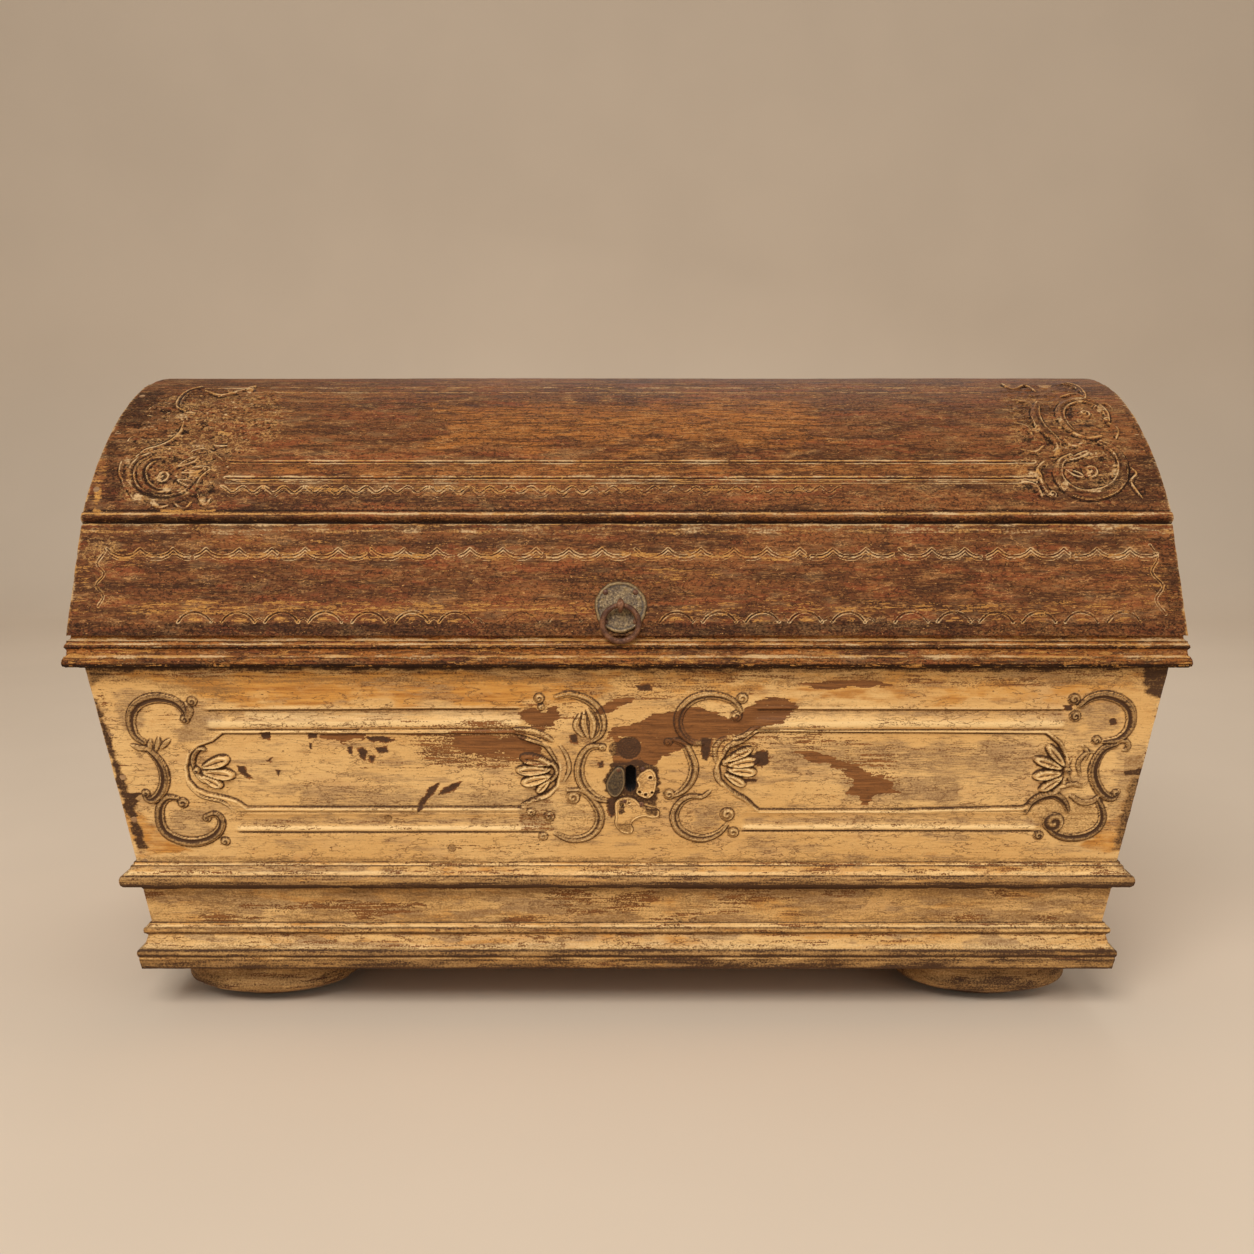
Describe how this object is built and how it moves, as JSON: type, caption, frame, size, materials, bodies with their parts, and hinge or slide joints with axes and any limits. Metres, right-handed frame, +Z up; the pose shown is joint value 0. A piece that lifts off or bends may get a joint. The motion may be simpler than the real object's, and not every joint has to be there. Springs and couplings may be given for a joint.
{
  "type": "domed trunk",
  "caption": "Domed storage trunk with a tapering panelled chest, mitred mouldings, turned feet, a hinged arched lid, an iron pull ring and a chest lock.",
  "frame": {"origin": "on the floor, under the middle of the trunk's overall box", "axes": "+Z up, +X along the width to the right as seen from the front, +Y to the back; the carved front and the keyhole face -Y"},
  "size_m": [1.4, 0.7358, 0.848],
  "materials": {
    "lid_paint": "worn dark brown oil paint with ochre showing through",
    "body_paint": "worn cream and ochre oil paint over brown ground",
    "bare_wood": "bare aged softwood",
    "iron": "forged iron, dark and slightly rusted"
  },
  "bodies": {
    "chest": {"front_board": "body_paint", "back_board": "body_paint", "left_end_board": "body_paint", "right_end_board": "body_paint", "plinth_front_board": "body_paint", "plinth_back_board": "body_paint", "plinth_left_board": "body_paint", "plinth_right_board": "body_paint", "floor_board_1": "bare_wood", "floor_board_2": "bare_wood", "floor_board_3": "bare_wood", "floor_board_4": "bare_wood", "mid_moulding_front": "body_paint", "mid_moulding_left": "body_paint", "mid_moulding_right": "body_paint", "base_moulding_front": "body_paint", "base_moulding_left": "body_paint", "base_moulding_right": "body_paint", "foot_front_left": "body_paint", "foot_front_right": "body_paint", "foot_back_left": "body_paint", "foot_back_right": "body_paint", "wall_pegs_front": "bare_wood", "wall_pegs_back": "bare_wood", "keyhole_plate": "iron", "keyhole_plate_nails": "iron", "hinge_chest_leaf_left": "iron", "hinge_chest_leaf_right": "iron", "hinge_pin_left": "iron", "hinge_pin_right": "iron", "hinge_chest_nails": "iron", "lock_case": "iron", "lock_cover": "iron", "lock_bolt_guides": "iron", "lock_spring": "iron", "lock_nails": "iron"},
    "lid": {"lid_rail_front": "lid_paint", "lid_rail_left": "lid_paint", "lid_rail_right": "lid_paint", "lid_rail_back": "lid_paint", "lid_slant_front": "lid_paint", "lid_slant_back": "lid_paint", "dome_front_board": "lid_paint", "dome_ridge_board": "lid_paint", "dome_back_board": "lid_paint", "lid_end_left": "lid_paint", "lid_end_right": "lid_paint", "lid_pegs_left": "bare_wood", "lid_pegs_right": "bare_wood", "ring_plate": "iron", "ring_plate_nails": "iron", "ring_staple": "iron", "hinge_lid_leaf_left": "iron", "hinge_lid_leaf_right": "iron", "hinge_lid_nails": "iron", "lid_catch": "iron", "lid_catch_rivets": "iron"},
    "pull_ring": {"pull_ring": "iron"},
    "lock_bolt": {"lock_bolt": "iron"}
  },
  "joints": [
    {"name": "lid_hinge", "type": "hinge", "parent": "chest", "child": "lid", "pos_m": [0, 0.36143, 0.481], "axis": [-1, 0, 0], "range_deg": [0, 100]},
    {"name": "ring_swing", "type": "hinge", "parent": "lid", "child": "pull_ring", "pos_m": [-0.008, -0.35863, 0.56004], "axis": [-1, 0, 0], "range_deg": [0, 160]},
    {"name": "bolt_slide", "type": "slide", "parent": "chest", "child": "lock_bolt", "axis": [1, 0, 0], "range_m": [0, 0.012]}
  ]
}
